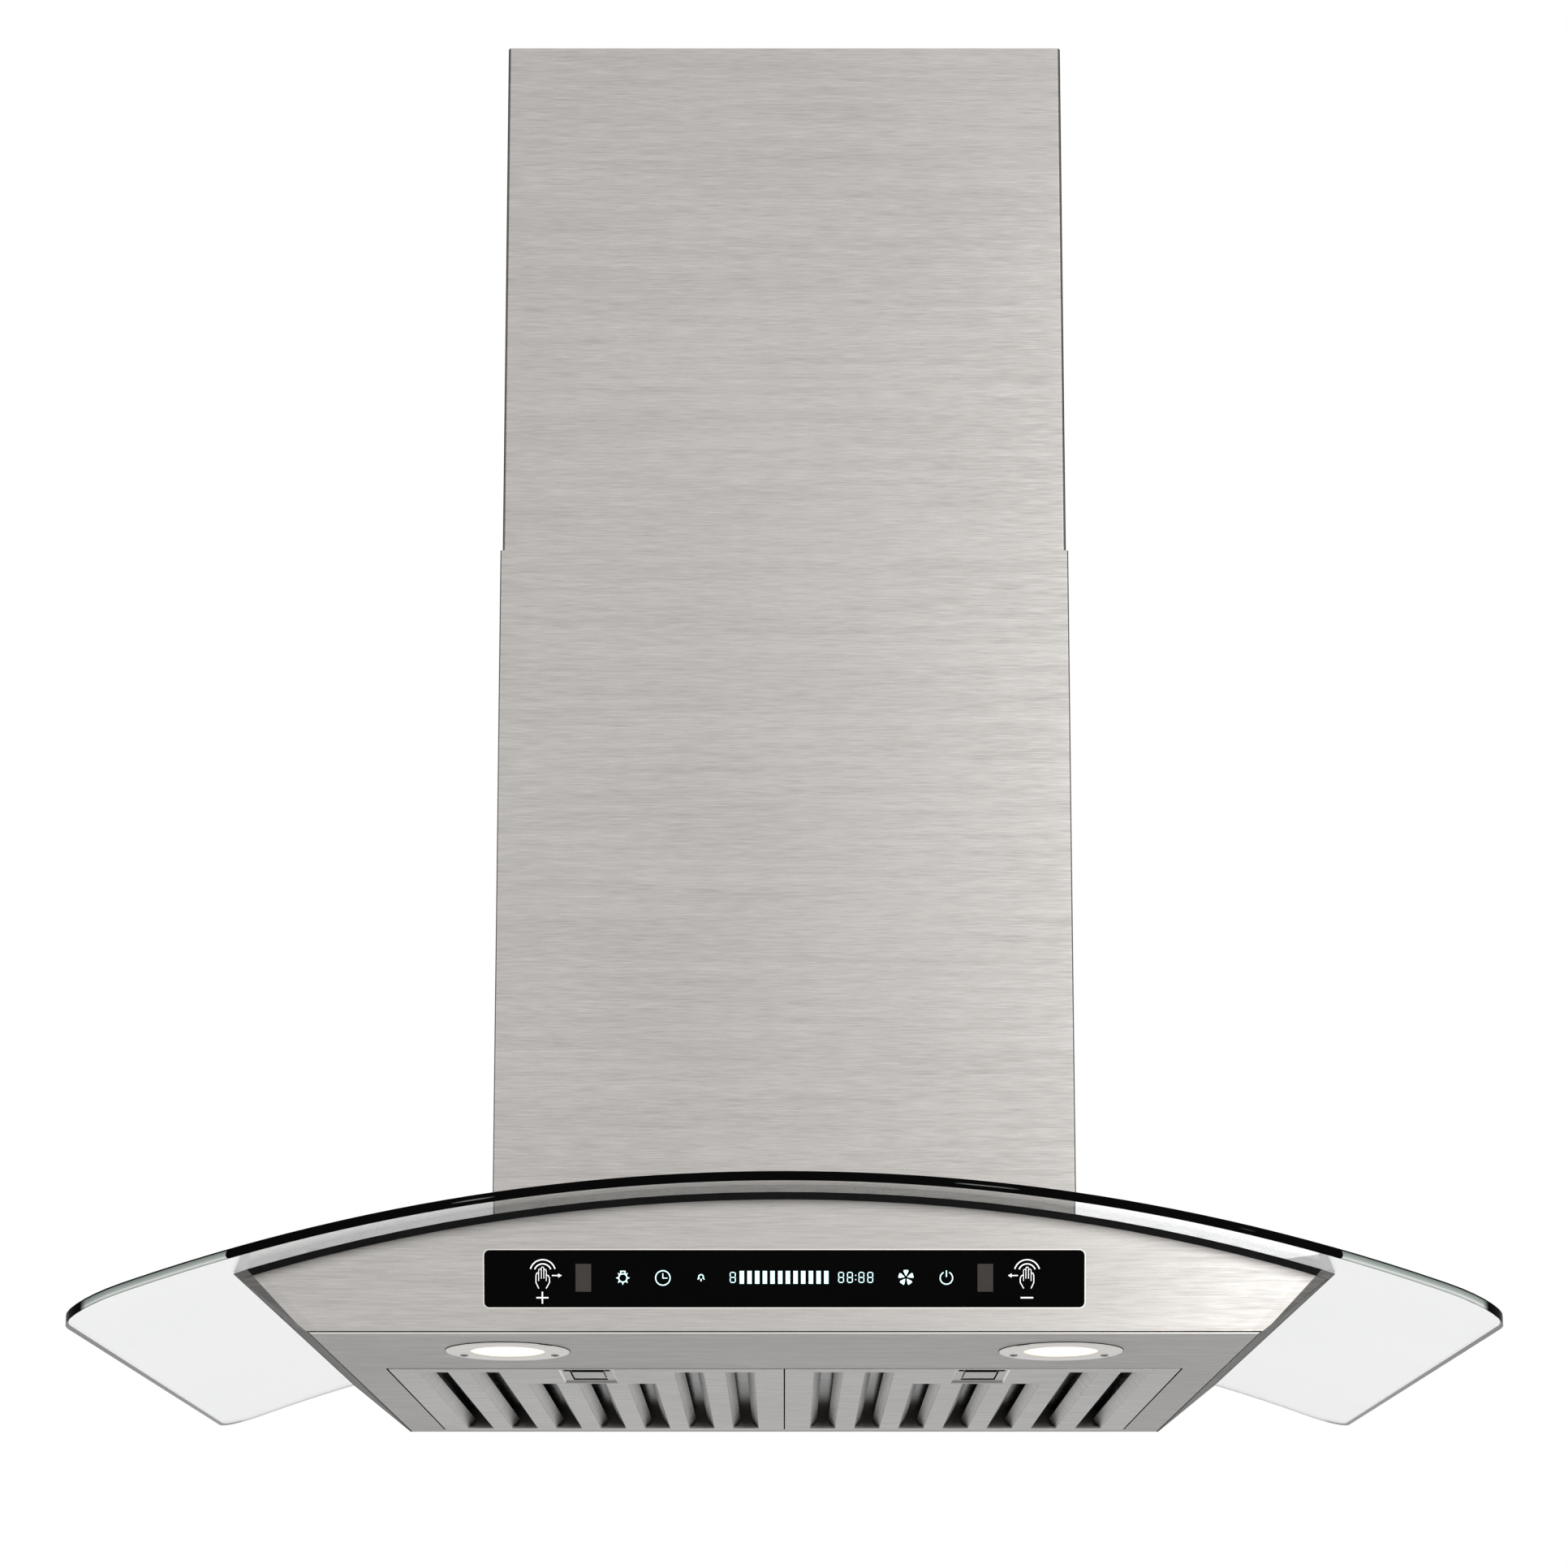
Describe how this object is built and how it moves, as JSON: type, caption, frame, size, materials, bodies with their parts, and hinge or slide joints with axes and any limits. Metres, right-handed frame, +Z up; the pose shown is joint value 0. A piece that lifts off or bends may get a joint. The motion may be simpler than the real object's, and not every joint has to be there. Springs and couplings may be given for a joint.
{
  "type": "wall mount range hood",
  "caption": "Wall chimney range hood with an arched glass canopy, a steel body with touch controls, lamps and baffle filters, and a two-part telescopic chimney.",
  "frame": {"origin": "on the wall plane, at the middle of the hanging plate's two screw holes, 230 mm above the hood's underside", "axes": "+Z up, +Y into the wall, so the front faces -Y, and +X to the right seen from the front"},
  "size_m": [0.76, 0.5, 0.8424],
  "materials": {
    "brushed_steel": "fine horizontal brushing, satin",
    "panel_steel": "brushed panel, satin",
    "galvanised_steel": "galvanised sheet, dull",
    "clear_glass": "clear toughened glass, polished edges",
    "black_glass": "black touch glass, gloss",
    "black_rubber": "matt seal",
    "lamp_diffuser": "frosted, lit warm white",
    "lamp_trim": "satin ring",
    "heat_sink": "cast, dull",
    "black_plastic": "moulded",
    "grey_plastic": "moulded, fine grain",
    "sensor_window": "tinted sensor window",
    "circuit_board": "green board",
    "motor_can": "dark paint",
    "screw_steel": "plated",
    "spring_steel": "bright wire",
    "filter_steel": "pressed stainless baffle",
    "latch_steel": "satin"
  },
  "bodies": {
    "hood": {"fascia": "brushed_steel", "side_panel_left": "brushed_steel", "side_panel_right": "brushed_steel", "back_panel": "panel_steel", "underside_panel": "panel_steel", "top_plate": "galvanised_steel", "inner_divider": "galvanised_steel", "canopy_gasket": "black_rubber", "opening_gaskets": "black_rubber", "glass_canopy": "clear_glass", "clamp_frame": "galvanised_steel", "glass_screws": "screw_steel", "control_glass": "black_glass", "gesture_sensors": "sensor_window", "display_board": "circuit_board", "control_tray": "black_plastic", "power_box": "black_plastic", "power_box_lid": "black_plastic", "power_board": "circuit_board", "lamp_bezel_left": "lamp_trim", "lamp_lens_left": "lamp_diffuser", "lamp_body_left": "heat_sink", "lamp_bezel_right": "lamp_trim", "lamp_lens_right": "lamp_diffuser", "lamp_body_right": "heat_sink", "lamp_screws": "screw_steel", "hang_plate": "galvanised_steel", "blower_housing": "galvanised_steel", "housing_top": "galvanised_steel", "housing_screws": "screw_steel", "volute_shell": "galvanised_steel", "volute_side_right": "galvanised_steel", "volute_side_left": "galvanised_steel", "motor": "motor_can", "motor_bracket": "galvanised_steel", "motor_bushes": "black_rubber", "capacitor": "grey_plastic", "outlet_collar": "grey_plastic", "damper_pins": "screw_steel", "cable_gland": "black_plastic", "lower_chimney_cover": "brushed_steel", "chimney_feet": "galvanised_steel", "chimney_screws": "screw_steel", "ceiling_bracket": "galvanised_steel"},
    "fan": {"impeller": "galvanised_steel", "motor_shaft": "screw_steel"},
    "flap_front": {"damper_flap_front": "black_plastic"},
    "flap_rear": {"damper_flap_rear": "black_plastic"},
    "upper_cover": {"upper_chimney_cover": "brushed_steel", "upper_cover_screws": "screw_steel"},
    "filter_left": {"filter_face_left": "filter_steel", "filter_frame_left": "filter_steel", "filter_baffles_left": "filter_steel", "latch_spring_left": "spring_steel"},
    "latch_left": {"filter_latch_left": "latch_steel"},
    "filter_right": {"filter_face_right": "filter_steel", "filter_frame_right": "filter_steel", "filter_baffles_right": "filter_steel", "latch_spring_right": "spring_steel"},
    "latch_right": {"filter_latch_right": "latch_steel"}
  },
  "joints": [
    {"name": "fan_spin", "type": "hinge", "parent": "hood", "child": "fan", "pos_m": [0, -0.095, -0.03], "axis": [1, 0, 0], "continuous": true},
    {"name": "front_flap_swing", "type": "hinge", "parent": "hood", "child": "flap_front", "pos_m": [0, -0.1552, 0.1452], "axis": [-1, 0, 0], "range_deg": [0, 75]},
    {"name": "rear_flap_swing", "type": "hinge", "parent": "hood", "child": "flap_rear", "pos_m": [0, -0.1488, 0.1452], "axis": [1, 0, 0], "range_deg": [0, 75]},
    {"name": "upper_cover_slide", "type": "slide", "parent": "hood", "child": "upper_cover", "axis": [0, 0, 1], "range_m": [-0.3, 0]},
    {"name": "filter_left_swing", "type": "hinge", "parent": "hood", "child": "filter_left", "pos_m": [0, -0.0134, -0.2287], "axis": [1, 0, 0], "range_deg": [0, 70]},
    {"name": "latch_left_slide", "type": "slide", "parent": "filter_left", "child": "latch_left", "axis": [0, 1, 0], "range_m": [0, 0.004], "stiffness_N_per_m": 300, "springref_m": -0.004, "deforming": ["latch_spring_left"]},
    {"name": "filter_right_swing", "type": "hinge", "parent": "hood", "child": "filter_right", "pos_m": [0, -0.0134, -0.2287], "axis": [1, 0, 0], "range_deg": [0, 70]},
    {"name": "latch_right_slide", "type": "slide", "parent": "filter_right", "child": "latch_right", "axis": [0, 1, 0], "range_m": [0, 0.004], "stiffness_N_per_m": 300, "springref_m": -0.004, "deforming": ["latch_spring_right"]}
  ]
}
